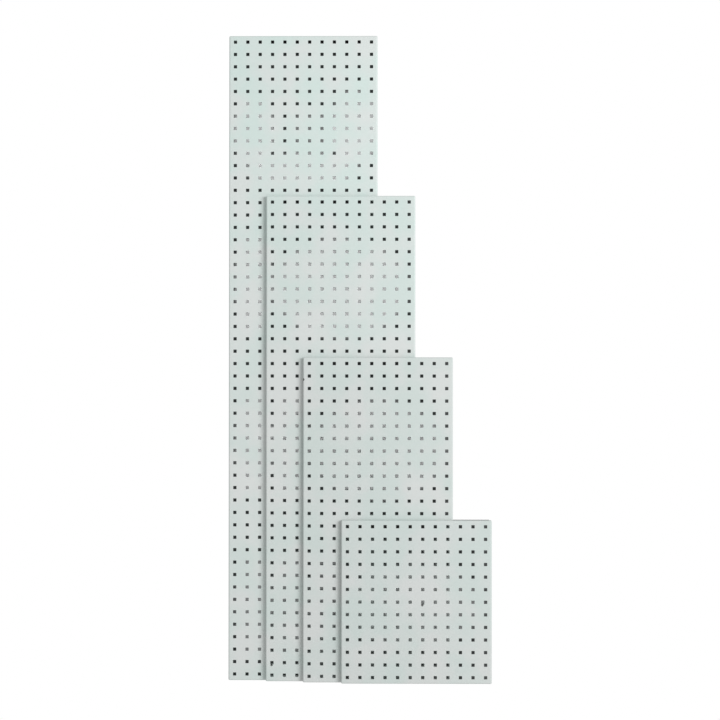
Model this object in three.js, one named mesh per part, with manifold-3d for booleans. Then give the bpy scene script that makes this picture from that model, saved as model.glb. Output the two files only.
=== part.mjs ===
// Pegboard tool wall: four folded sheet-steel panels with square holes, hung one on another in a stagger.
// Millimetres. +X to the right, +Y towards the wall, +Z up.
// The origin is the middle of the wall rail's back face.
import * as THREE from "three";
import { mergeGeometries, mergeVertices } from "three/addons/utils/BufferGeometryUtils.js";
import Module from "manifold-3d";

const wasm = await Module();
wasm.setup();

// Perforation: a 10 mm square hole every inch and a half
const PITCH = 38.1;
const HOLE = 10;
const COLUMNS = 12;
const MODULE_ROWS = 13;
const MODULES = [4, 3, 2, 1]; // the height of each panel, from the wall outwards, in modules of 13 rows
const STAGGER_COLUMNS = 3; // each panel hangs this many holes to the right of the one behind it
const RAIL_SLIDES = [0, 1.4, -0.1, 2.7]; // how far each panel has slid to the right along its rail

// Panel: one sheet folded into a shallow tray, open at the back
const WIDTH = COLUMNS * PITCH;
const MODULE_HEIGHT = MODULE_ROWS * PITCH;
const SHEET = 1.2;
const DEPTH = 15;
const LIP = 12; // the flange's edge is folded in again by this much
const BEND_RADIUS = 4;
const BEND_STEPS = 4;
const CORNER_SLIT = 1; // between two lips where they meet
const SLIT_REACH = 19; // each way from the corner, past both lips

// Stack: what separates a panel from the surface that it hangs on
const GAP = 0.3; // between pieces that touch
const STAND_OFF = 2.6;
const PANEL_SPACING = DEPTH + STAND_OFF;

// Rail: a Z-section strip whose upturned tongue stands behind the panel's top lip
const RAIL_SHEET = 1.5;
const TONGUE_HEIGHT = 9;
const TONGUE_CLEARANCE = 2.4; // lets the lip be hooked over the tongue at a slant
const RAIL_PLATE_HEIGHT = 34;
const RAIL_END = 12; // past the middle of its outermost hooks
const WALL_RAIL_LENGTH = 10 * PITCH;

// Hook: a tab on a rail's back that goes through a hole of the panel behind and turns down
const HOOK_WIDTH = 8;
const HOOK_DROP = 5.5;
const HOOK_COUNT = 3;
const HOOK_SPACING = 3; // in columns
const FIRST_HOOK_COLUMN = STAGGER_COLUMNS + 1; // of the panel that the hooks go through
const HOOK_PLAY = 0.5; // between the hook and the sheet's back

// Stiffener: a hat channel across the back of the sheet, between two rows of holes
const HAT_SHEET = 1;
const HAT_HEIGHT = 11;
const HAT_CROWN = 10;
const HAT_WIDTH = 26;
const HAT_END_CLEARANCE = 3.5; // clear of the bend at the sheet's side

// Wall fixing: wafer-head screws in nylon plugs
const SCREW_COLUMNS = [-4, -1.5, 1.5, 4];
const SCREW_RADIUS = 2.5;
const SCREW_LENGTH = 40;
const SCREW_TIP = 8;
const SCREW_HOLE_RADIUS = 4.3; // wide enough to shift the rail level
const HEAD_RADIUS = 6.5;
const HEAD_HEIGHT = 2.6;
const HEAD_DOME = [[0.5, 1], [0.8, 0.75], [1, 0.3]]; // as shares of the head's radius and height
const RECESS = { width: 5, arm: 1.2, depth: 1.5 };
const PLUG_RADIUS = 4;
const PLUG_LENGTH = 32;
const PLUG_TAPER = 3;
const ROUND_STEPS = 20;
const CUT = 1; // how far a cutter reaches past what it cuts
const WELD = 1e-4; // corners closer than this become one

// Bumper: a rubber disc on the bottom lip that keeps a panel off the paint behind it
const BUMPER_RADIUS = 5;
const BUMPER_ROUND = 0.7;

const PLATE_MIDDLE = LIP + GAP + RAIL_SHEET + RAIL_PLATE_HEIGHT / 2; // below the top of the panel
const FLOOR_LINE = PLATE_MIDDLE - MODULES[0] * MODULE_HEIGHT; // the bottoms of all four panels

const material = (color, roughness, metalness) =>
  new THREE.MeshStandardMaterial({ color, roughness, metalness });
const powderCoat = material(0xd3ddd9, 0.55, 0.1);
const blackCoat = material(0x1e1f21, 0.5, 0.1);
const zincPlate = material(0xa9adb0, 0.35, 0.9);
const rubber = material(0x26272a, 0.85, 0);
const nylon = material(0x8d9294, 0.6, 0);

// Solids

function solid(geometry) {
  const bare = geometry.index ? geometry.toNonIndexed() : geometry.clone();
  bare.deleteAttribute("normal");
  bare.deleteAttribute("uv");
  const merged = mergeVertices(bare, WELD);
  return new wasm.Manifold(
    new wasm.Mesh({
      numProp: 3,
      vertProperties: merged.attributes.position.array,
      triVerts: new Uint32Array(merged.index.array),
    }),
  );
}

function geometryOf(made) {
  const mesh = made.getMesh();
  const positions = new THREE.BufferAttribute(new Float32Array(mesh.vertProperties), 3);
  const geometry = new THREE.BufferGeometry().setAttribute("position", positions);
  geometry.setIndex(new THREE.BufferAttribute(mesh.triVerts, 1));
  geometry.computeVertexNormals();
  return geometry;
}

// A box from its lowest to its highest corner
function box(low, high) {
  const size = high.map((value, i) => value - low[i]);
  const middle = high.map((value, i) => (value + low[i]) / 2);
  return new THREE.BoxGeometry(...size).translate(...middle);
}

// A closed outline in Y and Z, drawn along X from x0 to x1
function alongX(points, x0, x1) {
  const shape = new THREE.Shape(points.map(([y, z]) => new THREE.Vector2(y, z)));
  const drawn = new THREE.ExtrudeGeometry(shape, { depth: x1 - x0, bevelEnabled: false });
  const turn = new THREE.Matrix4().set(0, 0, 1, x0, 1, 0, 0, 0, 0, 1, 0, 0, 0, 0, 0, 1);
  return drawn.applyMatrix4(turn);
}

// A closed outline in X and Y, drawn up from z0 to z1
function alongZ(shape, z0, z1) {
  return new THREE.ExtrudeGeometry(shape, { depth: z1 - z0, bevelEnabled: false, curveSegments: BEND_STEPS })
    .translate(0, 0, z0);
}

// A turned piece on the Y axis, from a profile of [radius, y]
function turned(profile) {
  const points = profile.map(([radius, y]) => new THREE.Vector2(radius, y));
  return new THREE.LatheGeometry(points, ROUND_STEPS);
}

// Panel sheet, drawn with its front face at y = 0 and its bottom left corner at x = 0, z = 0

// A rectangle whose two front corners are rounded: half of a folded tray's section
function frontRounded(width, depth, radius, inset) {
  const shape = new THREE.Shape();
  shape.moveTo(inset, depth);
  shape.lineTo(inset, inset + radius);
  shape.absarc(inset + radius, inset + radius, radius, Math.PI, 1.5 * Math.PI);
  shape.lineTo(width - inset - radius, inset);
  shape.absarc(width - inset - radius, inset + radius, radius, 1.5 * Math.PI, 2 * Math.PI);
  shape.lineTo(width - inset, depth);
  return shape;
}

// A rectangle with four rounded corners: the tray as seen from the front
function allRounded(height, radius, inset) {
  const [left, right, low, high] = [inset, WIDTH - inset, inset, height - inset];
  const shape = new THREE.Shape();
  shape.moveTo(left, high - radius);
  shape.absarc(left + radius, low + radius, radius, Math.PI, 1.5 * Math.PI);
  shape.absarc(right - radius, low + radius, radius, 1.5 * Math.PI, 2 * Math.PI);
  shape.absarc(right - radius, high - radius, radius, 0, Math.PI / 2);
  shape.absarc(left + radius, high - radius, radius, Math.PI / 2, Math.PI);
  return shape;
}

// A block whose front edges and four corners are all rounded, inset all round from the panel's outside
function trayBlock(height, inset, depth) {
  const radius = BEND_RADIUS - inset;
  const upright = alongZ(frontRounded(WIDTH, depth, radius, inset), inset, height - inset);
  const lying = alongZ(frontRounded(height, depth, radius, inset), inset, WIDTH - inset);
  const lay = new THREE.Matrix4().set(0, 0, -1, WIDTH, 0, 1, 0, 0, 1, 0, 0, 0, 0, 0, 0, 1);
  const corners = alongZ(allRounded(height, radius, inset), 0, depth);
  const raise = new THREE.Matrix4().set(1, 0, 0, 0, 0, 0, -1, depth, 0, 1, 0, 0, 0, 0, 0, 1);
  return solid(upright)
    .intersect(solid(lying.applyMatrix4(lay)))
    .intersect(solid(corners.applyMatrix4(raise)));
}

function holesToCut(cells, rows) {
  const half = HOLE / 2;
  return mergeGeometries(
    cells.map(([column, row]) => {
      const x = (column + 0.5) * PITCH;
      const z = (rows - row - 0.5) * PITCH;
      return box([x - half, -CUT, z - half], [x + half, SHEET + CUT, z + half]);
    }),
  );
}

// The slits between the lips at the tray's four corners
function cornerSlits(height) {
  return mergeGeometries(
    [[0, 0, 1], [WIDTH, 0, -1], [0, height, -1], [WIDTH, height, 1]].map(([x, z, way]) =>
      box([-SLIT_REACH, -2 * SHEET, -CORNER_SLIT / 2], [SLIT_REACH, 2 * SHEET, CORNER_SLIT / 2])
        .rotateY((-way * Math.PI) / 4)
        .translate(x, DEPTH, z),
    ),
  );
}

// The perforation that shows
// What the next panel covers stays plain, but for the holes that its rail hooks into.
function cellsOf(panel) {
  const rows = MODULES[panel] * MODULE_ROWS;
  const coverTop = rows - (MODULES[panel + 1] ?? 0) * MODULE_ROWS;
  const cells = [];
  for (let row = 0; row < rows; row++) {
    for (let column = 0; column < COLUMNS; column++) {
      const covered = column >= STAGGER_COLUMNS && row >= coverTop;
      const hooked = row === coverTop && (column - FIRST_HOOK_COLUMN) % HOOK_SPACING === 0;
      if (!covered || hooked) cells.push([column, row]);
    }
  }
  return cells;
}

function panelSheet(panel) {
  const height = MODULES[panel] * MODULE_HEIGHT;
  const opening = solid(box([LIP, DEPTH - 2 * SHEET, LIP], [WIDTH - LIP, DEPTH + CUT, height - LIP]));
  const holes = solid(holesToCut(cellsOf(panel), MODULES[panel] * MODULE_ROWS));
  return trayBlock(height, 0, DEPTH)
    .subtract(trayBlock(height, SHEET, DEPTH - SHEET))
    .subtract(opening)
    .subtract(solid(cornerSlits(height)))
    .subtract(holes);
}

// Stiffener, drawn against the back of a sheet whose back is at y = 0, with its middle at z = 0
function hatChannel() {
  const y0 = GAP;
  const y1 = GAP + HAT_HEIGHT;
  const foot = HAT_WIDTH / 2;
  const web = HAT_CROWN / 2;
  const outline = [
    [y0, -foot], [y0, -web + HAT_SHEET], [y1 - HAT_SHEET, -web + HAT_SHEET],
    [y1 - HAT_SHEET, web - HAT_SHEET], [y0, web - HAT_SHEET], [y0, foot],
    [y0 + HAT_SHEET, foot], [y0 + HAT_SHEET, web], [y1, web],
    [y1, -web], [y0 + HAT_SHEET, -web], [y0 + HAT_SHEET, -foot],
  ];
  const end = SHEET + HAT_END_CLEARANCE;
  return solid(alongX(outline, end, WIDTH - end));
}

// Rail, drawn against a surface at y = 0, with the top of the panel that it carries at z = 0
function zStrip(x0, x1, gap) {
  const back = -gap;
  const front = back - RAIL_SHEET;
  const tongueBack = -(STAND_OFF + SHEET + TONGUE_CLEARANCE);
  const tongueFront = tongueBack - RAIL_SHEET;
  const seat = -(LIP + GAP);
  const underside = seat - RAIL_SHEET;
  const outline = [
    [back, seat], [tongueBack, seat], [tongueBack, seat + TONGUE_HEIGHT],
    [tongueFront, seat + TONGUE_HEIGHT], [tongueFront, underside], [front, underside],
    [front, underside - RAIL_PLATE_HEIGHT], [back, underside - RAIL_PLATE_HEIGHT],
  ];
  return solid(alongX(outline, x0, x1));
}

function wallRail() {
  const half = WALL_RAIL_LENGTH / 2;
  const drill = SCREW_COLUMNS.map((column) =>
    new THREE.CylinderGeometry(SCREW_HOLE_RADIUS, SCREW_HOLE_RADIUS, 4 * RAIL_SHEET, ROUND_STEPS)
      .translate(column * PITCH, 0, -PLATE_MIDDLE),
  );
  return zStrip(-half, half, 0).subtract(solid(mergeGeometries(drill)));
}

// One hook in the top row of holes, at x = 0, overlapping the rail's plate
function hook() {
  const holeBottom = -PITCH / 2 - HOLE / 2;
  const armBottom = holeBottom + GAP;
  const armTop = armBottom + RAIL_SHEET;
  const dropFront = SHEET + HOOK_PLAY;
  const dropBack = dropFront + RAIL_SHEET;
  const outline = [
    [-GAP - RAIL_SHEET / 2, armBottom], [dropFront, armBottom], [dropFront, holeBottom - HOOK_DROP],
    [dropBack, holeBottom - HOOK_DROP], [dropBack, armTop], [-GAP - RAIL_SHEET / 2, armTop],
  ];
  return solid(alongX(outline, -HOOK_WIDTH / 2, HOOK_WIDTH / 2));
}

// A hanger rail, with its first hook at x = 0
function hangerRail() {
  const step = HOOK_SPACING * PITCH;
  let made = zStrip(-RAIL_END, (HOOK_COUNT - 1) * step + RAIL_END, GAP);
  for (let i = 0; i < HOOK_COUNT; i++) made = made.add(hook().translate([i * step, 0, 0]));
  return made;
}

// Small pieces, drawn on the Y axis with the surface that they bear on at y = 0

function wallScrew() {
  const dome = HEAD_DOME.map(([out, up]) => [HEAD_RADIUS * out, -HEAD_HEIGHT * up]);
  const profile = [
    [0, -HEAD_HEIGHT], ...dome, [HEAD_RADIUS, 0], [SCREW_RADIUS, 0],
    [SCREW_RADIUS, SCREW_LENGTH - SCREW_TIP], [0, SCREW_LENGTH],
  ];
  const { width, arm, depth } = RECESS;
  const outside = -HEAD_HEIGHT - CUT;
  const bottom = -HEAD_HEIGHT + depth;
  const flat = solid(box([-width / 2, outside, -arm / 2], [width / 2, bottom, arm / 2]));
  const upright = solid(box([-arm / 2, outside, -width / 2], [arm / 2, bottom, width / 2]));
  return solid(turned(profile)).subtract(flat.add(upright));
}

function wallPlug() {
  const bore = SCREW_RADIUS + GAP;
  const tip = (bore + PLUG_RADIUS) / 2;
  const profile = [
    [bore, 0], [PLUG_RADIUS, 0], [PLUG_RADIUS, PLUG_LENGTH - PLUG_TAPER],
    [tip, PLUG_LENGTH], [bore, PLUG_LENGTH], [bore, 0],
  ];
  return solid(turned(profile));
}

function bumper() {
  const near = GAP;
  const far = STAND_OFF - GAP;
  const profile = [
    [0, near], [BUMPER_RADIUS, near], [BUMPER_RADIUS, (near + far) / 2],
    [BUMPER_RADIUS - BUMPER_ROUND, far], [0, far],
  ];
  return solid(turned(profile));
}

// Assembly

function place(parent, name, made, look, x, y, z) {
  const mesh = new THREE.Mesh(geometryOf(made), look.clone());
  mesh.name = name;
  mesh.position.set(x, y, z);
  parent.add(mesh);
}

const NAMES = ["back", "second", "third", "front"];
const toolWall = new THREE.Group();

place(toolWall, "wall_rail", wallRail(), blackCoat, 0, 0, PLATE_MIDDLE);
SCREW_COLUMNS.forEach((column, i) => {
  place(toolWall, `wall_screw_${i + 1}`, wallScrew(), zincPlate, column * PITCH, -RAIL_SHEET - GAP, 0);
  place(toolWall, `wall_plug_${i + 1}`, wallPlug(), nylon, column * PITCH, GAP, 0);
});

const lefts = [-WIDTH / 2];
for (const slide of RAIL_SLIDES.slice(1)) lefts.push(lefts.at(-1) + STAGGER_COLUMNS * PITCH + slide);

MODULES.forEach((modules, panel) => {
  const name = NAMES[panel];
  const left = lefts[panel];
  const surface = -panel * PANEL_SPACING;
  const front = surface - PANEL_SPACING;
  const top = FLOOR_LINE + modules * MODULE_HEIGHT;
  if (panel > 0) {
    const firstHook = lefts[panel - 1] + (FIRST_HOOK_COLUMN + 0.5) * PITCH;
    place(toolWall, `hanger_rail_${name}`, hangerRail(), blackCoat, firstHook, surface, top);
  }
  place(toolWall, `${name}_panel`, panelSheet(panel), powderCoat, left, front, FLOOR_LINE);
  for (let i = 1; i < modules; i++) {
    const height = FLOOR_LINE + i * MODULE_HEIGHT;
    place(toolWall, `${name}_stiffener_${i}`, hatChannel(), powderCoat, left, front + SHEET, height);
  }
  const columnsBehind = panel > 0 ? COLUMNS - STAGGER_COLUMNS : COLUMNS;
  [["left", 0.5], ["right", columnsBehind - 0.5]].forEach(([side, column]) => {
    const x = left + column * PITCH;
    place(toolWall, `${name}_bumper_${side}`, bumper(), rubber, x, surface - STAND_OFF, FLOOR_LINE + LIP / 2);
  });
});

export default toolWall;
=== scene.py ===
"""Looks for the pegboard tool wall: four folded, perforated steel panels hung one on another in a stagger."""

import bpy
import bmesh
import math
from mathutils import Matrix, Vector


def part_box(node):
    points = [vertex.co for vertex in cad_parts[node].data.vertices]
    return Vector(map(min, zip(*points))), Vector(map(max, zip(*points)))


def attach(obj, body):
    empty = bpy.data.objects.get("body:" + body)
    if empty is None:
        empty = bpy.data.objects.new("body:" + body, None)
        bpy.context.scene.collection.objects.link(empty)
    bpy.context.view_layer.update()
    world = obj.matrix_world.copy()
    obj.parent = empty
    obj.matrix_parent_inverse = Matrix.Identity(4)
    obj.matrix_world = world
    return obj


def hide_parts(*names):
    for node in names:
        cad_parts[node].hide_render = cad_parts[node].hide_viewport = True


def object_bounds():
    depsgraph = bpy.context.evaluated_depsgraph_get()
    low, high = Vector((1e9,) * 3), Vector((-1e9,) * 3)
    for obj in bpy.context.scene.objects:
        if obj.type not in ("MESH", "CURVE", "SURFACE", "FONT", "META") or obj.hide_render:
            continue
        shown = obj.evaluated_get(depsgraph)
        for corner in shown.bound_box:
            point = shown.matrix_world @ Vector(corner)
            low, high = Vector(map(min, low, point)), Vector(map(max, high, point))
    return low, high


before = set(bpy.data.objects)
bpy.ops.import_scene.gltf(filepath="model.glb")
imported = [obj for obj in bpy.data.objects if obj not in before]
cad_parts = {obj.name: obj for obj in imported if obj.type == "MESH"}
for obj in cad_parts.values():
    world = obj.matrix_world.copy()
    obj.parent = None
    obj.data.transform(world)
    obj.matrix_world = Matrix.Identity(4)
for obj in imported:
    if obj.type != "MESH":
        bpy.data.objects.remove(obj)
cad_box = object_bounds()

MM = 0.001

# Panels, as in the CAD, in millimetres
PITCH = 38.1
HOLE_HALF = 5.0
HOLE_CORNER = 0.9  # radius of a hole's corners
COLUMNS = 12
MODULE_ROWS = 13
SHEET = 1.2
DEPTH = 15.0
LIP = 12.0
BEND_RADIUS = 4.0
BEND_STEPS = 5
REAR_RADIUS = 1.8  # of the bend between the flange and the lip
REAR_STEPS = 4
LIP_SLIT = 0.6  # half the gap between two lips, measured along each
SLIT_START = 0.5  # how far the slit's blunt end is from the bend line

# Rails and their hooks, in millimetres
GAP = 0.3
STAND_OFF = 2.6
RAIL_SHEET = 1.5
RAIL_BEND = 1.6
TONGUE_HEIGHT = 9.0
TONGUE_CLEARANCE = 2.4
RAIL_PLATE_HEIGHT = 34.0
HOOK_WIDTH = 8.0
HOOK_DROP = 5.5
HOOK_PLAY = 0.5
HOOK_COUNT = 3
HOOK_SPACING = 3
HOOK_BEND = 0.9
FOLD_STEPS = 4
RAIL_END = 12.0  # past the middle of its outermost hooks
DRILL_RADIUS = 4.3
DRILL_LENGTH = 12.0
DRILL_AROUND = 40
SCREW_COUNT = 4

# Stiffeners and their weld buttons, in millimetres
HAT_SHEET = 1.0
HAT_BEND = 1.4
HAT_HEIGHT = 11.0
HAT_CROWN = 10.0
HAT_WIDTH = 26.0
WELD_STEPS = [(-0.4, 2.4), (0.0, 2.4), (0.15, 2.1), (0.25, 1.4), (0.27, 0.5)]  # height and radius
WELD_AROUND = 16

# Screws, plugs and bumpers, in millimetres. Each head and thread is drawn along Y from the rail's face
SCREW_HEAD = [
    (-2.6, 3.1), (-2.5, 4.2), (-2.1, 5.3), (-1.5, 6.0),
    (-0.8, 6.4), (-0.3, 6.5), (0.0, 6.45), (0.0, 2.6),
]  # height and radius
HEAD_HEIGHT = 2.6
RECESS_WIDTH = 5.0
RECESS_ARM = 1.2
RECESS_CUTTER = 3.0  # half of it is above the head
SCREW_LENGTH = 40.0
SCREW_TIP = 8.0
SCREW_STEPS = 180
SCREW_AROUND = 28
TIP_RADIUS = 0.05
SHANK_START = 0.2
SHANK_RADIUS = 2.5
CORE_RADIUS = 1.9
THREAD_PITCH = 1.8
THREAD_START = 4.0
PLUG_RADIUS = 4.0
PLUG_LENGTH = 32.0
PLUG_STEPS = 120
PLUG_TAPER = 0.05  # lost from the radius at each of the last steps
PLUG_TAPER_STEPS = 12
PLUG_AROUND = 48
RING_PITCH = 3.2
RING_DEPTH = 0.45
RINGS_FROM, RINGS_TO = 3.0, 27.0
SLIT_DEPTH = 0.9
SLIT_FROM = 6.0
SLIT_WIDTH = 0.16  # as the sine of half its angle
BORE_RADIUS = 2.8
BORE_AROUND = 32
BORE_FROM, BORE_PAST = -1, 1.5  # the cutter's start, and how far it runs out of the plug's end
BUMPER_ROUND = 1.2
BUMPER_WALL = 0.45  # share of the thickness below the rounding
BUMPER_AROUND = 40
BUMPER_EDGE = 0.15  # chamfer against the panel
BUMPER_DIMPLE = [(0.05, 0.45), (0.3, 0.3), (0.35, 0.1)]  # depth, and share of the radius

PANELS = [("back", 4), ("second", 3), ("third", 2), ("front", 1)]  # names, and heights in modules

# Chamfers in millimetres, and the angles in degrees that count as an edge
SHEET_CHAMFER = 0.22
RAIL_CHAMFER = 0.2
HAT_CHAMFER = 0.15
CHAMFER_ANGLE = 55
CREASE_ANGLE = 25
TURNED_CREASE_ANGLE = 35


# ---------------------------------------------------------------- meshes

def add_object(name, mesh, material):
    made = bpy.data.objects.new(name, mesh)
    bpy.context.scene.collection.objects.link(made)
    mesh.materials.append(material)
    return made


def box_mm(node):
    """A CAD node's lowest and highest corners, in millimetres."""
    low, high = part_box(node)
    return low / MM, high / MM


def mesh_of(name, points, faces):
    """A smooth-shaded mesh from points in millimetres."""
    mesh = bpy.data.meshes.new(name)
    mesh.from_pydata([[c * MM for c in p] for p in points], [], faces)
    mesh.validate()
    mesh.shade_smooth()
    return mesh


def apply_modifiers(made):
    settled = made.evaluated_get(bpy.context.evaluated_depsgraph_get())
    mesh = bpy.data.meshes.new_from_object(settled)
    made.modifiers.clear()
    made.data = mesh


def crease(made, degrees):
    """Shades an object smooth, but for the edges that turn more sharply than this."""
    made.data.shade_smooth()
    made.data.set_sharp_from_angle(angle=math.radians(degrees))


def soften(made, width, thickness=0.0):
    """Gives a surface its thickness, and every sharp edge a small chamfer."""
    if thickness:
        solid = made.modifiers.new("thickness", "SOLIDIFY")
        solid.thickness = thickness * MM
        solid.offset = -1
        solid.use_even_offset = True
    bevel = made.modifiers.new("edges", "BEVEL")
    bevel.width = width * MM
    bevel.segments = 1
    bevel.limit_method = "ANGLE"
    bevel.angle_limit = math.radians(CHAMFER_ANGLE)
    apply_modifiers(made)
    crease(made, CREASE_ANGLE)
    weighted = made.modifiers.new("flat_faces", "WEIGHTED_NORMAL")
    weighted.keep_sharp = True


class Surface:
    """Faces over points that are shared where they coincide."""

    def __init__(self):
        self.points = []
        self.faces = []
        self.index = {}

    def point(self, *place):
        key = tuple(round(c * 1000) for c in place)
        if key not in self.index:
            self.index[key] = len(self.points)
            self.points.append(place)
        return self.index[key]

    def face(self, *places):
        corners = list(dict.fromkeys(self.point(*p) for p in places))
        if len(corners) > 2:
            self.faces.append(corners)


def cell_lines(count):
    """The lines between holes along one side: the outer two stand on the bends."""
    lines = [i * PITCH for i in range(count + 1)]
    lines[0] = BEND_RADIUS
    lines[-1] -= BEND_RADIUS
    return lines


def add_cell(surface, left, right, low, high, x, z):
    """One hole and the sheet round it, in twelve faces."""
    reach = HOLE_HALF - HOLE_CORNER
    diagonal = reach + HOLE_CORNER * math.sqrt(0.5)
    inner, outer = [], []
    for sx, sz in ((1, 1), (-1, 1), (-1, -1), (1, -1)):
        side = right if sx > 0 else left
        end = high if sz > 0 else low
        along = [
            ((HOLE_HALF, reach), (side, z + sz * reach)),
            ((diagonal, diagonal), (side, end)),
            ((reach, HOLE_HALF), (x + sx * reach, end)),
        ]
        if sx * sz < 0:
            along.reverse()
        for (a, b), spot in along:
            inner.append((x + sx * a, 0, z + sz * b))
            outer.append((spot[0], 0, spot[1]))
    for i in range(12):
        j = (i + 1) % 12
        surface.face(outer[i], outer[j], inner[j], inner[i])


def flange_profile():
    """How far outside the bend line, and how far behind the face, the folded edge runs."""
    profile = []
    for i in range(BEND_STEPS + 1):
        turn = math.radians(90 * i / BEND_STEPS)
        profile.append((BEND_RADIUS * math.sin(turn), BEND_RADIUS * (1 - math.cos(turn))))
    for i in range(REAR_STEPS + 1):
        turn = math.radians(90 * i / REAR_STEPS)
        outward = BEND_RADIUS - REAR_RADIUS * (1 - math.cos(turn))
        profile.append((outward, DEPTH - REAR_RADIUS * (1 - math.sin(turn))))
    profile += [(0.0, DEPTH), (-SLIT_START, DEPTH), (BEND_RADIUS - LIP, DEPTH)]
    return profile


def add_flange(surface, start, along, outward, stops):
    """One folded edge, from start in the direction along. Its ends turn half of each corner."""
    ends = [(stops[0], -45), (stops[0], -22.5)], [(stops[-1], 22.5), (stops[-1], 45)]
    columns = ends[0] + [(stop, 0) for stop in stops] + ends[1]

    def place(column, step):
        stop, turn = column
        out, back = step
        ahead = out * math.sin(math.radians(turn))
        aside = out * math.cos(math.radians(turn))
        if out < 0 and stop in (stops[0], stops[-1]):
            way = 1 if stop == stops[-1] else -1
            ahead, aside = way * (out - LIP_SLIT), out
        x = start[0] + along[0] * (stop + ahead) + outward[0] * aside
        z = start[1] + along[1] * (stop + ahead) + outward[1] * aside
        return (x, back, z)

    profile = flange_profile()
    for this, following in zip(columns, columns[1:]):
        for near, far in zip(profile, profile[1:]):
            surface.face(place(this, far), place(following, far), place(following, near), place(this, near))


def hole_stops(count):
    """Where the faces of the cells meet the bend line, along one side."""
    lines = cell_lines(count)
    reach = HOLE_HALF - HOLE_CORNER
    stops = [lines[0]]
    for i in range(count):
        middle = (i + 0.5) * PITCH
        stops += [middle - reach, middle + reach, lines[i + 1]]
    return stops


def panel_sheet(name, modules, material):
    """A panel's sheet: every hole, four folded edges and the lips behind them."""
    rows = modules * MODULE_ROWS
    width, height = COLUMNS * PITCH, rows * PITCH
    surface = Surface()
    across, up = cell_lines(COLUMNS), cell_lines(rows)
    for row in range(rows):
        for column in range(COLUMNS):
            middle = ((column + 0.5) * PITCH, (row + 0.5) * PITCH)
            add_cell(surface, across[column], across[column + 1], up[row], up[row + 1], *middle)
    low, high = BEND_RADIUS, height - BEND_RADIUS
    left, right = BEND_RADIUS, width - BEND_RADIUS
    across_stops, up_stops = hole_stops(COLUMNS), hole_stops(rows)
    add_flange(surface, (0, low), (1, 0), (0, -1), across_stops)
    add_flange(surface, (right, 0), (0, 1), (1, 0), up_stops)
    add_flange(surface, (width, high), (-1, 0), (0, 1), [width - s for s in reversed(across_stops)])
    add_flange(surface, (left, height), (0, -1), (-1, 0), [height - s for s in reversed(up_stops)])
    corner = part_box(f"{name}_panel")[0] / MM
    points = [(corner[0] + x, corner[1] + y, corner[2] + z) for x, y, z in surface.points]
    made = add_object(f"{name}_sheet", mesh_of(name, points, surface.faces), material)
    soften(made, SHEET_CHAMFER, SHEET)
    return made


def folded_outline(line, thickness, radius):
    """The outline in Y and Z of a strip that follows a bent middle line."""
    points = [Vector(p) for p in line]
    spine = [(points[0], (points[1] - points[0]).normalized())]
    for before, corner, after in zip(points, points[1:], points[2:]):
        into, out = (corner - before).normalized(), (after - corner).normalized()
        angle = into.angle_signed(out)
        trim = radius * math.tan(abs(angle) / 2)
        side = Vector((-into.y, into.x)) * (1 if angle < 0 else -1)
        centre = corner - into * trim + side * radius
        for i in range(FOLD_STEPS + 1):
            turn = Matrix.Rotation(-angle * i / FOLD_STEPS, 2)
            spine.append((centre - turn @ side * radius, turn @ into))
    spine.append((points[-1], (points[-1] - points[-2]).normalized()))
    half = thickness / 2
    left = [p + Vector((-d.y, d.x)) * half for p, d in spine]
    right = [p - Vector((-d.y, d.x)) * half for p, d in spine]
    return left + right[::-1]


def strip_object(name, outline, x0, x1, material):
    """A closed outline in Y and Z, drawn along X as one closed body."""
    made = bmesh.new()
    near = [made.verts.new((x0 * MM, p[0] * MM, p[1] * MM)) for p in outline]
    far = [made.verts.new((x1 * MM, p[0] * MM, p[1] * MM)) for p in outline]
    count = len(outline)
    for i in range(count):
        j = (i + 1) % count
        made.faces.new((near[i], near[j], far[j], far[i]))
    made.faces.new(near[::-1])
    made.faces.new(far)
    bmesh.ops.recalc_face_normals(made, faces=made.faces)
    mesh = bpy.data.meshes.new(name)
    made.to_mesh(mesh)
    made.free()
    return add_object(name, mesh, material)


def combine(made, others, operation):
    """Joins other objects to this one, or cuts them from it, and removes them."""
    for other in others:
        change = made.modifiers.new("change", "BOOLEAN")
        change.object = other
        change.operation = operation
        change.solver = "EXACT"
    apply_modifiers(made)
    for other in others:
        bpy.data.objects.remove(other)


def same_radius(angle, y, radius):
    return radius


def turned_mesh(name, radius_at, steps, around, material, place):
    """A closed body turned about the Y direction through a place, whose radius may change with the angle.

    steps holds (y, radius) pairs from one end to the other.
    radius_at(angle, y, radius) gives the final radius."""
    points, faces = [], []
    for y, radius in steps:
        for i in range(around):
            angle = 2 * math.pi * i / around
            r = radius_at(angle, y, radius)
            points.append((place[0] + r * math.cos(angle), place[1] + y, place[2] + r * math.sin(angle)))
    for step in range(len(steps) - 1):
        for i in range(around):
            j = (i + 1) % around
            a, b = step * around, (step + 1) * around
            faces.append((a + i, a + j, b + j, b + i))
    faces.append(tuple(range(around))[::-1])
    last = (len(steps) - 1) * around
    faces.append(tuple(range(last, last + around)))
    mesh = mesh_of(name, points, faces)
    fixed = bmesh.new()
    fixed.from_mesh(mesh)
    bmesh.ops.recalc_face_normals(fixed, faces=fixed.faces)
    fixed.to_mesh(mesh)
    fixed.free()
    mesh.set_sharp_from_angle(angle=math.radians(TURNED_CREASE_ANGLE))
    return add_object(name, mesh, material)


# ---------------------------------------------------------------- materials

def new_material(name):
    made = bpy.data.materials.new(name)
    made.use_nodes = True
    return made, made.node_tree, made.node_tree.nodes["Principled BSDF"]


def add_node(tree, kind, **values):
    made = tree.nodes.new(kind)
    for key, value in values.items():
        if key in made.inputs:
            made.inputs[key].default_value = value
        else:
            setattr(made, key, value)
    return made


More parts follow.
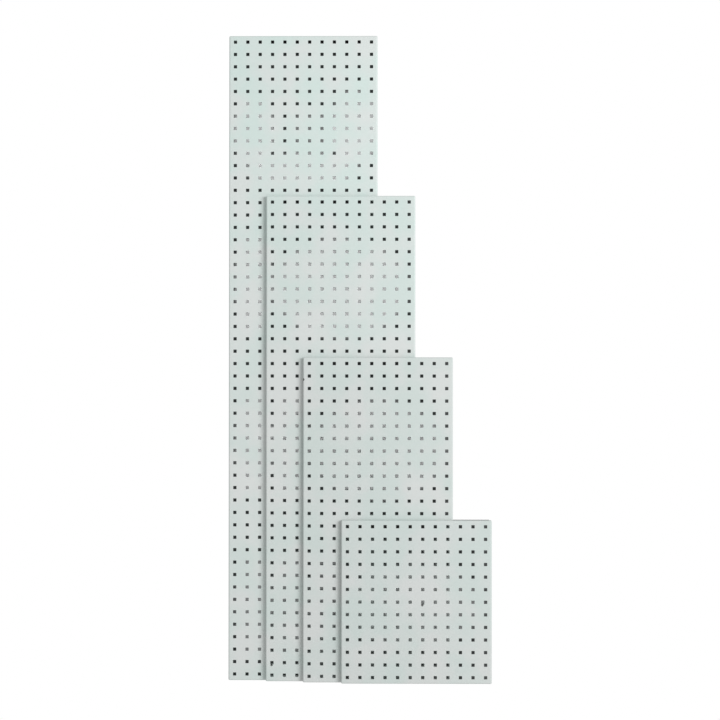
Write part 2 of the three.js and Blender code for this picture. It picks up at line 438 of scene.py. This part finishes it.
def noise(tree, scale, detail=3.0, roughness=0.55):
    where = add_node(tree, "ShaderNodeTexCoord")
    made = add_node(tree, "ShaderNodeTexNoise", Scale=scale, Detail=detail, Roughness=roughness)
    tree.links.new(where.outputs["Object"], made.inputs["Vector"])
    return made.outputs["Fac"]


def ramp(tree, source, stops):
    """Colours or greys along a value from 0 to 1."""
    made = add_node(tree, "ShaderNodeValToRGB")
    elements = made.color_ramp.elements
    while len(elements) < len(stops):
        elements.new(0.5)
    for element, (position, color) in zip(elements, stops):
        element.position = position
        element.color = color if len(color) == 4 else (*color, 1)
    tree.links.new(source, made.inputs["Fac"])
    return made.outputs["Color"]


def spread(tree, source, low, high, to_low, to_high):
    """A value, carried over from one range to another."""
    made = add_node(tree, "ShaderNodeMapRange")
    for key, value in (("From Min", low), ("From Max", high), ("To Min", to_low), ("To Max", to_high)):
        made.inputs[key].default_value = value
    tree.links.new(source, made.inputs["Value"])
    return made.outputs["Result"]


def mix_colors(tree, factor, first, second, blend="MIX"):
    """Two colours mixed. The factor and each colour is a plain value or another node's output."""
    made = add_node(tree, "ShaderNodeMix", data_type="RGBA", blend_type=blend)
    for socket, value in ((made.inputs[0], factor), (made.inputs[6], first), (made.inputs[7], second)):
        if isinstance(value, (float, int)):
            socket.default_value = value
        elif isinstance(value, tuple):
            socket.default_value = (*value, 1) if len(value) == 3 else value
        else:
            tree.links.new(value, socket)
    return made.outputs[2]


def bump(tree, shader, source, strength, distance):
    made = add_node(tree, "ShaderNodeBump", Strength=strength, Distance=distance)
    tree.links.new(source, made.inputs["Height"])
    tree.links.new(made.outputs["Normal"], shader.inputs["Normal"])


def chip_mask(tree, chips):
    """1 inside small ragged chips, each given as its middle, its reach in X and its reach in Z."""
    where = add_node(tree, "ShaderNodeTexCoord").outputs["Object"]
    ragged = noise(tree, 900.0, 2.0)
    total = None
    for middle, reach_x, reach_z in chips:
        moved = add_node(tree, "ShaderNodeVectorMath", operation="SUBTRACT")
        moved.inputs[1].default_value = middle
        tree.links.new(where, moved.inputs[0])
        scaled = add_node(tree, "ShaderNodeVectorMath", operation="MULTIPLY")
        scaled.inputs[1].default_value = (1 / reach_x, 0.0, 1 / reach_z)
        tree.links.new(moved.outputs[0], scaled.inputs[0])
        length = add_node(tree, "ShaderNodeVectorMath", operation="LENGTH")
        tree.links.new(scaled.outputs[0], length.inputs[0])
        inside = spread(tree, length.outputs["Value"], 0.75, 1.05, 1.0, 0.0)
        if total is None:
            total = inside
        else:
            larger = add_node(tree, "ShaderNodeMath", operation="MAXIMUM")
            tree.links.new(total, larger.inputs[0])
            tree.links.new(inside, larger.inputs[1])
            total = larger.outputs[0]
    torn = add_node(tree, "ShaderNodeMath", operation="MULTIPLY")
    tree.links.new(total, torn.inputs[0])
    tree.links.new(spread(tree, ragged, 0.3, 0.45, 0.0, 1.0), torn.inputs[1])
    return torn.outputs[0]


def clouded(tree, patches, dark, light, tone):
    """A colour that drifts between two others, both made lighter or darker by a tone, which paints each
    panel's copy lit or shaded as painted light and shade.
    """
    dark, light = (tuple(part * tone for part in color) for color in (dark, light))
    return ramp(tree, patches, [(0.38, dark), (0.62, light)])


def powder_coat(name, tone, chips=()):
    """Light grey powder coat, greener and lighter higher up, the lighter top being painted light, with faint
    clouding and a fine orange-peel skin.
    """
    made, tree, shader = new_material(name)
    patches = noise(tree, 8.0, 3.0)
    greyer_shaded_low = clouded(tree, patches, (0.635, 0.710, 0.686), (0.695, 0.722, 0.711), tone)
    greener_lit_high = clouded(tree, patches, (0.640, 0.752, 0.719), (0.694, 0.742, 0.726), tone)
    # Painted light: the coat runs from a greyer, darker colour low down to a greener, lighter one higher up,
    # for light falling brighter higher up.
    height = add_node(tree, "ShaderNodeSeparateXYZ")
    tree.links.new(add_node(tree, "ShaderNodeTexCoord").outputs["Object"], height.inputs[0])
    clouds_lit_higher = mix_colors(tree, spread(tree, height.outputs["Z"], -1.1, -0.3, 0.0, 1.0), greyer_shaded_low, greener_lit_high)
    speckle = ramp(tree, noise(tree, 260.0, 2.0), [(0.3, (0, 0, 0)), (0.7, (0.05, 0.05, 0.05))])
    color = mix_colors(tree, speckle, clouds_lit_higher, (0.5, 0.56, 0.54))
    if chips:
        color = mix_colors(tree, chip_mask(tree, chips), color, (0.028, 0.028, 0.026))
    tree.links.new(color, shader.inputs["Base Color"])
    tree.links.new(spread(tree, noise(tree, 55.0, 4.0), 0.3, 0.7, 0.5, 0.6), shader.inputs["Roughness"])
    shader.inputs["Specular IOR Level"].default_value = 0.4
    bump(tree, shader, noise(tree, 620.0, 2.0, 0.5), 0.12, 0.00012)
    return made


def zinc_plate():
    """Bright zinc plate: faint crystal patches, rolled streaks along X and dull handling marks."""
    made, tree, shader = new_material("zinc_plate_detail")
    where = add_node(tree, "ShaderNodeTexCoord").outputs["Object"]
    stretched = add_node(tree, "ShaderNodeMapping")
    stretched.inputs["Scale"].default_value = (12.0, 700.0, 700.0)
    tree.links.new(where, stretched.inputs["Vector"])
    streaks = add_node(tree, "ShaderNodeTexNoise", Scale=1.0, Detail=3.0)
    tree.links.new(stretched.outputs["Vector"], streaks.inputs["Vector"])
    crystals = add_node(tree, "ShaderNodeTexVoronoi", Scale=170.0)
    tree.links.new(where, crystals.inputs["Vector"])
    base = ramp(tree, streaks.outputs["Fac"], [(0.3, (0.5, 0.52, 0.53)), (0.7, (0.62, 0.64, 0.65))])
    color = mix_colors(tree, 0.25, base, crystals.outputs["Color"], "SOFT_LIGHT")
    tree.links.new(color, shader.inputs["Base Color"])
    shader.inputs["Metallic"].default_value = 1.0
    tree.links.new(spread(tree, noise(tree, 60.0, 4.0), 0.3, 0.7, 0.28, 0.45), shader.inputs["Roughness"])
    bump(tree, shader, streaks.outputs["Fac"], 0.1, 0.0001)
    return made


def black_coat():
    """A thin satin black dip coat, rubbed a little where it bulges."""
    made, tree, shader = new_material("black_coat_detail")
    tone = ramp(tree, noise(tree, 40.0, 4.0), [(0.3, (0.009, 0.009, 0.010)), (0.75, (0.018, 0.018, 0.019))])
    worn = ramp(tree, add_node(tree, "ShaderNodeNewGeometry").outputs["Pointiness"],
                [(0.54, (0, 0, 0)), (0.62, (0.35, 0.35, 0.35))])
    color = mix_colors(tree, worn, tone, (0.16, 0.16, 0.16))
    tree.links.new(color, shader.inputs["Base Color"])
    tree.links.new(spread(tree, noise(tree, 70.0, 3.0), 0.3, 0.7, 0.38, 0.52), shader.inputs["Roughness"])
    bump(tree, shader, noise(tree, 800.0, 2.0), 0.1, 0.0001)
    return made


def bumper_rubber():
    made, tree, shader = new_material("bumper_rubber")
    tone = ramp(tree, noise(tree, 300.0, 4.0), [(0.3, (0.014, 0.014, 0.015)), (0.75, (0.03, 0.03, 0.031))])
    tree.links.new(tone, shader.inputs["Base Color"])
    tree.links.new(spread(tree, noise(tree, 90.0), 0.3, 0.7, 0.75, 0.9), shader.inputs["Roughness"])
    bump(tree, shader, noise(tree, 2200.0, 3.0), 0.25, 0.0001)
    return made


def plug_nylon():
    made, tree, shader = new_material("plug_nylon")
    tone = ramp(tree, noise(tree, 120.0, 3.0), [(0.3, (0.24, 0.255, 0.262)), (0.75, (0.3, 0.315, 0.322))])
    tree.links.new(tone, shader.inputs["Base Color"])
    tree.links.new(spread(tree, noise(tree, 200.0), 0.3, 0.7, 0.45, 0.6), shader.inputs["Roughness"])
    shader.inputs["Subsurface Weight"].default_value = 0.05
    bump(tree, shader, noise(tree, 1500.0, 2.0), 0.15, 0.0001)
    return made


# ---------------------------------------------------------------- pieces

def hole_centre(name, column, row):
    """The middle of a hole on a panel's face, in metres.

    Columns are counted from the left and rows from the top, from 1."""
    low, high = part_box(f"{name}_panel")
    return (low[0] + (column - 0.5) * PITCH * MM, low[1], high[2] - (row - 0.5) * PITCH * MM)


def chips_of(name):
    """The few dark chips in the paint, each with its middle and its reach in X and Z, in metres."""
    if name == "front":
        x, y, z = hole_centre(name, 7, 7)
        return [((x - 0.0015, y, z - 0.0085), 0.0042, 0.0048), ((x + 0.001, y, z - 0.005), 0.0044, 0.004)]
    if name == "second":
        x, y, z = hole_centre(name, 1, 38)
        return [((x - 0.001, y, z - 0.0075), 0.004, 0.0036)]
    if name == "third":
        low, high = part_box(f"{name}_panel")
        return [((low[0] + 0.0012, low[1], high[2] - 0.068), 0.0036, 0.0042)]
    return []


# Painted light and shade: each panel's copy of the same coat is made lighter or darker as the light falls on
# it, lightest on the back panel and darkest on the front one.
PANEL_LIGHT_TONES = {"back": 1.045, "second": 1.01, "third": 0.97, "front": 0.955}


def make_panels():
    """The four sheets, by panel name, each with its stiffeners."""
    made = {}
    for name, modules in PANELS:
        # Each panel gets its own copy of the coat, lit or shaded by its painted tone.
        coat = powder_coat(f"powder_coat_{name}", PANEL_LIGHT_TONES[name], chips_of(name))
        sheet = panel_sheet(name, modules, coat)
        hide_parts(f"{name}_panel")
        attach(sheet, f"{name}_board")
        made[name] = sheet
        for i in range(1, modules):
            make_stiffener(name, i, coat)
    return made


def hat_line(back, middle):
    """The middle line of a hat channel, from the back of the sheet."""
    near = back + HAT_SHEET / 2
    crown = back + HAT_HEIGHT - HAT_SHEET / 2
    foot = HAT_WIDTH / 2
    web = (HAT_CROWN - HAT_SHEET) / 2
    return [(near, middle - foot), (near, middle - web), (crown, middle - web),
            (crown, middle + web), (near, middle + web), (near, middle + foot)]


def make_stiffener(name, number, material):
    node = f"{name}_stiffener_{number}"
    low, high = box_mm(node)
    outline = folded_outline(hat_line(low[1], (low[2] + high[2]) / 2), HAT_SHEET, HAT_BEND)
    made = strip_object(f"{name}_hat_{number}", outline, low[0], high[0], material)
    welds = []
    for column in range(1, COLUMNS, 2):
        for side in (-1, 1):
            x = low[0] + (high[0] - low[0]) * column / COLUMNS
            z = (low[2] + high[2]) / 2 + side * (HAT_WIDTH + HAT_CROWN) / 4
            place = (x, low[1] + HAT_SHEET, z)
            weld = turned_mesh(f"weld_{column}_{side}", same_radius, WELD_STEPS, WELD_AROUND, material, place)
            welds.append(weld)
    combine(made, welds, "UNION")
    soften(made, HAT_CHAMFER)
    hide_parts(node)
    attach(made, f"{name}_board")


def rail_line(surface, top, gap):
    """The middle line of a Z-section rail, from the top of its tongue to the bottom of its plate."""
    half = RAIL_SHEET / 2
    tongue = surface - STAND_OFF - SHEET - TONGUE_CLEARANCE - half
    seat = top - LIP - GAP
    plate = surface - gap - half
    return [(tongue, seat + TONGUE_HEIGHT), (tongue, seat - half), (plate, seat - half),
            (plate, seat - RAIL_SHEET - RAIL_PLATE_HEIGHT)]


def hook_line(surface, top):
    """The middle line of a hook, from inside the rail's plate through a hole and down behind the sheet."""
    half = RAIL_SHEET / 2
    hole_bottom = top - PITCH / 2 - HOLE_HALF
    arm = hole_bottom + GAP + half
    drop = surface + SHEET + HOOK_PLAY + half
    return [(surface - GAP - half, arm), (drop, arm), (drop, hole_bottom - HOOK_DROP)]


def make_hanger_rail(name, top, material):
    node = f"hanger_rail_{name}"
    low, high = box_mm(node)
    surface = low[1] + STAND_OFF + SHEET + TONGUE_CLEARANCE + RAIL_SHEET
    outline = folded_outline(rail_line(surface, top, GAP), RAIL_SHEET, RAIL_BEND)
    made = strip_object(f"{name}_rail_strip", outline, low[0], high[0], material)
    hook = folded_outline(hook_line(surface, top), RAIL_SHEET, HOOK_BEND)
    hooks = []
    for i in range(HOOK_COUNT):
        x = low[0] + RAIL_END + i * HOOK_SPACING * PITCH
        hooks.append(strip_object(f"hook_{i}", hook, x - HOOK_WIDTH / 2, x + HOOK_WIDTH / 2, material))
    combine(made, hooks, "UNION")
    soften(made, RAIL_CHAMFER)
    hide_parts(node)
    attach(made, f"{name}_rail")


def make_wall_rail(material):
    low, high = box_mm("wall_rail")
    top = high[2] + LIP + GAP - TONGUE_HEIGHT
    outline = folded_outline(rail_line(0.0, top, 0.0), RAIL_SHEET, RAIL_BEND)
    made = strip_object("wall_rail_strip", outline, low[0], high[0], material)
    drills = []
    steps = [(0, DRILL_RADIUS), (DRILL_LENGTH, DRILL_RADIUS)]
    for i in range(1, SCREW_COUNT + 1):
        screw_low, screw_high = box_mm(f"wall_screw_{i}")
        place = ((screw_low[0] + screw_high[0]) / 2, -DRILL_LENGTH / 2, (screw_low[2] + screw_high[2]) / 2)
        drills.append(turned_mesh(f"drill_{i}", same_radius, steps, DRILL_AROUND, material, place))
    combine(made, drills, "DIFFERENCE")
    soften(made, RAIL_CHAMFER)
    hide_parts("wall_rail")
    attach(made, "wall_rail")


def thread_radius(angle, y, radius):
    """A wood screw's ridge, which dies out towards the head and the tip."""
    if radius > SHANK_RADIUS or y < THREAD_START:
        return radius
    turn = (y / THREAD_PITCH - angle / (2 * math.pi)) % 1
    ridge = max(0.0, 1 - abs(turn - 0.5) * 4)
    core = radius * CORE_RADIUS / SHANK_RADIUS
    return core + (radius - core) * ridge


def make_screw(number, material):
    node = f"wall_screw_{number}"
    low, high = box_mm(node)
    middle = ((low[0] + high[0]) / 2, -(RAIL_SHEET + GAP), (low[2] + high[2]) / 2)
    shank = []
    for i in range(SCREW_STEPS + 1):
        y = SHANK_START + (SCREW_LENGTH - SHANK_START) * i / SCREW_STEPS
        shank.append((y, max(TIP_RADIUS, SHANK_RADIUS * min(1.0, (SCREW_LENGTH - y) / SCREW_TIP))))
    made = turned_mesh(f"screw_{number}", thread_radius, SCREW_HEAD + shank, SCREW_AROUND, material, middle)
    recess = []
    for wide, tall in ((RECESS_WIDTH, RECESS_ARM), (RECESS_ARM, RECESS_WIDTH)):
        cutter = bmesh.new()
        bmesh.ops.create_cube(cutter, size=MM)
        shape = Matrix.Diagonal((wide, RECESS_CUTTER, tall, 1))
        bmesh.ops.transform(cutter, matrix=shape, verts=cutter.verts)
        spot = Vector((middle[0], middle[1] - HEAD_HEIGHT, middle[2])) * MM
        bmesh.ops.translate(cutter, vec=spot, verts=cutter.verts)
        mesh = bpy.data.meshes.new("recess")
        cutter.to_mesh(mesh)
        cutter.free()
        recess.append(add_object(f"recess_{wide}", mesh, material))
    combine(made, recess, "DIFFERENCE")
    crease(made, TURNED_CREASE_ANGLE)
    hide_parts(node)
    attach(made, "wall_rail")


def plug_radius(angle, y, radius):
    """Barbed rings, and two slits that let the plug spread."""
    ring = RING_DEPTH * ((y / RING_PITCH) % 1) if RINGS_FROM < y < RINGS_TO else 0.0
    slit = SLIT_DEPTH if y > SLIT_FROM and abs(math.sin(angle)) < SLIT_WIDTH else 0.0
    return radius - ring - slit


def make_plug(number, material):
    node = f"wall_plug_{number}"
    low, high = box_mm(node)
    place = ((low[0] + high[0]) / 2, low[1], (low[2] + high[2]) / 2)
    outside = []
    for i in range(PLUG_STEPS + 1):
        tapered = max(0, i - (PLUG_STEPS - PLUG_TAPER_STEPS))
        outside.append((PLUG_LENGTH * i / PLUG_STEPS, PLUG_RADIUS - PLUG_TAPER * tapered))
    made = turned_mesh(f"plug_{number}", plug_radius, outside, PLUG_AROUND, material, place)
    bore_steps = [(BORE_FROM, BORE_RADIUS), (PLUG_LENGTH + BORE_PAST, BORE_RADIUS)]
    bore = turned_mesh("bore", same_radius, bore_steps, BORE_AROUND, material, place)
    combine(made, [bore], "DIFFERENCE")
    crease(made, TURNED_CREASE_ANGLE)
    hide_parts(node)
    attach(made, "wall_rail")


def make_bumper(name, side, material):
    node = f"{name}_bumper_{side}"
    low, high = box_mm(node)
    thick = high[1] - low[1]
    radius = (high[0] - low[0]) / 2
    place = ((low[0] + high[0]) / 2, low[1], (low[2] + high[2]) / 2)
    wall = thick * BUMPER_WALL
    steps = [(0.0, radius - BUMPER_EDGE), (BUMPER_EDGE, radius), (wall, radius)]
    for i in range(1, BEND_STEPS + 1):
        turn = math.radians(90 * i / BEND_STEPS)
        steps.append((wall + (thick - wall) * math.sin(turn), radius - BUMPER_ROUND * (1 - math.cos(turn))))
    steps += [(thick - depth, radius * share) for depth, share in BUMPER_DIMPLE]
    made = turned_mesh(f"{name}_foot_{side}", same_radius, steps, BUMPER_AROUND, material, place)
    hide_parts(node)
    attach(made, f"{name}_board")


# ---------------------------------------------------------------- studio

# The camera, in metres from the tallest panel's left side, front and bottom, and its turns in degrees
CAMERA_FROM_LEFT = 0.4484
CAMERA_AWAY = 4.8774
CAMERA_HEIGHT = 0.9316
CAMERA_TURNS = (90.6009, -0.0342, 0.5294)
SENSOR_WIDTH = 36
LENS = 79.38  # millimetres

# The studio: how bright the surround is, and where the key light is, in metres from the object's middle
AMBIENT = 0.49
KEY_AWAY = 6.0
KEY_TURN = 40  # degrees to the right
KEY_RISE = 0.9
KEY_SIZE = (3.3, 2.2)
KEY_POWER = 220
BOARD_INSET = 0.004
BOARD_BEHIND = 0.0004
FLOOR_BELOW = 0.16
FLOOR_ASIDE = 6
FLOOR_AHEAD = 8


def make_camera():
    low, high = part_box("back_panel")
    data = bpy.data.cameras.new("camera")
    data.lens = LENS
    data.sensor_width = SENSOR_WIDTH
    camera = bpy.data.objects.new("camera", data)
    camera.location = (low[0] + CAMERA_FROM_LEFT, low[1] - CAMERA_AWAY, low[2] + CAMERA_HEIGHT)
    camera.rotation_euler = [math.radians(turn) for turn in CAMERA_TURNS]
    bpy.context.scene.collection.objects.link(camera)
    bpy.context.scene.camera = camera


def add_light(name, data, place, target):
    light = bpy.data.objects.new(name, data)
    light.location = place
    light.rotation_euler = (target - place).to_track_quat("-Z", "Y").to_euler()
    bpy.context.scene.collection.objects.link(light)
    return light


def make_lights():
    """A white surround, and one soft key from the front right."""
    world = bpy.data.worlds.new("studio")
    world.use_nodes = True
    tree = world.node_tree
    tree.nodes.clear()
    seen = add_node(tree, "ShaderNodeBackground", Color=(1, 1, 1, 1), Strength=1.0)
    lit = add_node(tree, "ShaderNodeBackground", Color=(1, 1, 1, 1), Strength=AMBIENT)
    path = add_node(tree, "ShaderNodeLightPath")
    mixed = add_node(tree, "ShaderNodeMixShader")
    output = add_node(tree, "ShaderNodeOutputWorld")
    tree.links.new(path.outputs["Is Camera Ray"], mixed.inputs[0])
    tree.links.new(lit.outputs[0], mixed.inputs[1])
    tree.links.new(seen.outputs[0], mixed.inputs[2])
    tree.links.new(mixed.outputs[0], output.inputs["Surface"])
    bpy.context.scene.world = world
    low, high = cad_box
    middle = (low + high) / 2
    turn = math.radians(KEY_TURN)
    aside, ahead = KEY_AWAY * math.sin(turn), KEY_AWAY * math.cos(turn)
    key = bpy.data.lights.new("key", "AREA")
    key.shape = "RECTANGLE"
    key.size, key.size_y = KEY_SIZE
    key.energy = KEY_POWER
    place = Vector((middle[0] + aside, low[1] - ahead, middle[2] + KEY_RISE))
    add_light("key", key, place, Vector(middle))


# The pools of light behind the holes of a block of 13 rows: the middle column and row, half the width and
# half the height, in holes, and the share of the power
TOP_POOLS = {
    "back": [
        (1.5, 7.2, 1.8, 3.0, 0.9),
        (9.7, 6.9, 2.2, 3.2, 0.9),
        (5.4, 10.4, 4.9, 1.4, 0.8),
        (6.2, 7.6, 2.2, 2.4, 0.35),
    ],
    "second": [(5.5, 6.9, 5.8, 4.3, 1.0)],
    "third": [(5.5, 6.9, 5.8, 4.3, 1.0)],
    "front": [(5.3, 6.3, 5.9, 3.5, 1.0)],
}
COVERED_POOLS = [(1.5, 6.5, 1.6, 4.5, 0.75)]
LIGHT_AT_FLOOR = 0.37
LIGHT_RISE = 0.35  # for each metre of height
POOL_SOFTNESS = 0.3
POOL_LIGHT_RADIUS = 0.01
SHEET_POWER = {"second": 200, "third": 150, "front": 270}
BOARD_POWER = {"back": 3400, "second": 2500, "third": 2000, "front": 2200}


def make_hole_light(name, target, size, power, receivers):
    """One narrow light from beside the camera, which falls on its receivers only."""
    start = bpy.context.scene.camera.location
    data = bpy.data.lights.new(name, "SPOT")
    data.energy = power
    data.shadow_soft_size = POOL_LIGHT_RADIUS
    reach = max(size)
    data.spot_size = 2 * math.atan(reach / (target - start).length)
    data.spot_blend = POOL_SOFTNESS
    light = add_light(name, data, start, target)
    light.scale = (size[0] / reach, size[1] / reach, 1.0)
    light.light_linking.receiver_collection = receivers


def make_hole_lights(sheets, board):
    """For each block of 13 rows, lights that shine through its holes onto what lies behind.

    They leave the sheet in front alone, and they are stronger higher up, as the light in the studio is."""
    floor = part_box("back_panel")[0][2]
    behind_all = bpy.data.collections.new("shade_board")
    behind_all.objects.link(board)
    module_height = MODULE_ROWS * PITCH * MM
    for panel, (name, modules) in enumerate(PANELS):
        behind = bpy.data.collections.new(f"behind_{name}")
        for farther, _ in PANELS[:panel]:
            behind.objects.link(sheets[farther])
        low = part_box(f"{name}_panel")[0]
        for module in range(modules):
            top = (module + 1) * module_height
            strength = LIGHT_AT_FLOOR + LIGHT_RISE * (top - module_height / 2)
            pools = TOP_POOLS[name] if module + 1 == modules else COVERED_POOLS
            for pool, (column, row, wide, tall, share) in enumerate(pools):
                x = low[0] + (column + 0.5) * PITCH * MM
                z = floor + top - (row + 0.5) * PITCH * MM
                target = Vector((x, low[1], z))
                size = (wide * PITCH * MM, tall * PITCH * MM)
                label = f"{name}_{module}_{pool}"
                power = strength * share
                make_hole_light(f"board_{label}", target, size, BOARD_POWER[name] * power, behind_all)
                if panel:
                    make_hole_light(f"sheets_{label}", target, size, SHEET_POWER[name] * power, behind)


def one_sided(material):
    """Leaves a stage surface clear from behind, so that it doesn't hide the object."""
    tree = material.node_tree
    shader = tree.nodes["Principled BSDF"]
    output = tree.nodes["Material Output"]
    clear = add_node(tree, "ShaderNodeBsdfTransparent")
    side = add_node(tree, "ShaderNodeNewGeometry")
    mixed = add_node(tree, "ShaderNodeMixShader")
    tree.links.new(side.outputs["Backfacing"], mixed.inputs[0])
    tree.links.new(shader.outputs[0], mixed.inputs[1])
    tree.links.new(clear.outputs[0], mixed.inputs[2])
    tree.links.new(mixed.outputs[0], output.inputs["Surface"])


def stage_plane(name, corners, material):
    mesh = bpy.data.meshes.new(name)
    mesh.from_pydata(corners, [], [tuple(range(len(corners)))])
    made = add_object(name, mesh, material)
    return made


def make_stage():
    """A near-black board where the wall is, as painted shade for the shadowed wall that the holes show dark,
    hidden by the panels, and a pale floor below the view.

    The board takes part in nothing but what the camera sees, so that it doesn't darken the object's back."""
    board, tree, shader = new_material("stage_shade_board")
    # Painted shade: the board's near-black colour stands for the wall in shadow behind the holes.
    tone = ramp(tree, noise(tree, 3.0, 1.0), [(0.4, (0.047, 0.05, 0.05)), (0.6, (0.053, 0.056, 0.056))])
    tree.links.new(tone, shader.inputs["Base Color"])
    one_sided(board)
    low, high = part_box("back_panel")
    left = low[0] + BOARD_INSET
    wall = [(left, low[2]), (left, high[2] - BOARD_INSET)]
    for name, _ in PANELS:
        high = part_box(f"{name}_panel")[1]
        wall += [(wall[-1][0], high[2] - BOARD_INSET), (high[0] - BOARD_INSET, high[2] - BOARD_INSET)]
    wall.append((wall[-1][0], low[2]))
    corners = [(x, BOARD_BEHIND, z) for x, z in dict.fromkeys(wall)]
    board_piece = stage_plane("board", corners[::-1], board)
    board_piece.visible_shadow = False
    board_piece.visible_diffuse = False
    floor, tree, shader = new_material("stage_floor")
    tone = ramp(tree, noise(tree, 6.0, 3.0), [(0.3, (0.80, 0.80, 0.795)), (0.7, (0.83, 0.83, 0.825))])
    tree.links.new(tone, shader.inputs["Base Color"])
    shader.inputs["Roughness"].default_value = 0.8
    one_sided(floor)
    z = low[2] - FLOOR_BELOW
    x, y = FLOOR_ASIDE, -FLOOR_AHEAD
    stage_plane("floor", [(-x, y, z), (x, y, z), (x, 0, z), (-x, 0, z)], floor)
    return board_piece


make_camera()
sheets = make_panels()
zinc = zinc_plate()
black = black_coat()
rubber = bumper_rubber()
nylon = plug_nylon()
make_wall_rail(black)
for number in range(1, SCREW_COUNT + 1):
    make_screw(number, zinc)
    make_plug(number, nylon)
for name, _ in PANELS:
    if name != "back":
        make_hanger_rail(name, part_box(f"{name}_panel")[1][2] / MM, black)
    for side in ("left", "right"):
        make_bumper(name, side, rubber)
make_lights()
shade_board = make_stage()
make_hole_lights(sheets, shade_board)
bpy.context.scene.view_settings.view_transform = "Standard"

bpy.context.view_layer.update()
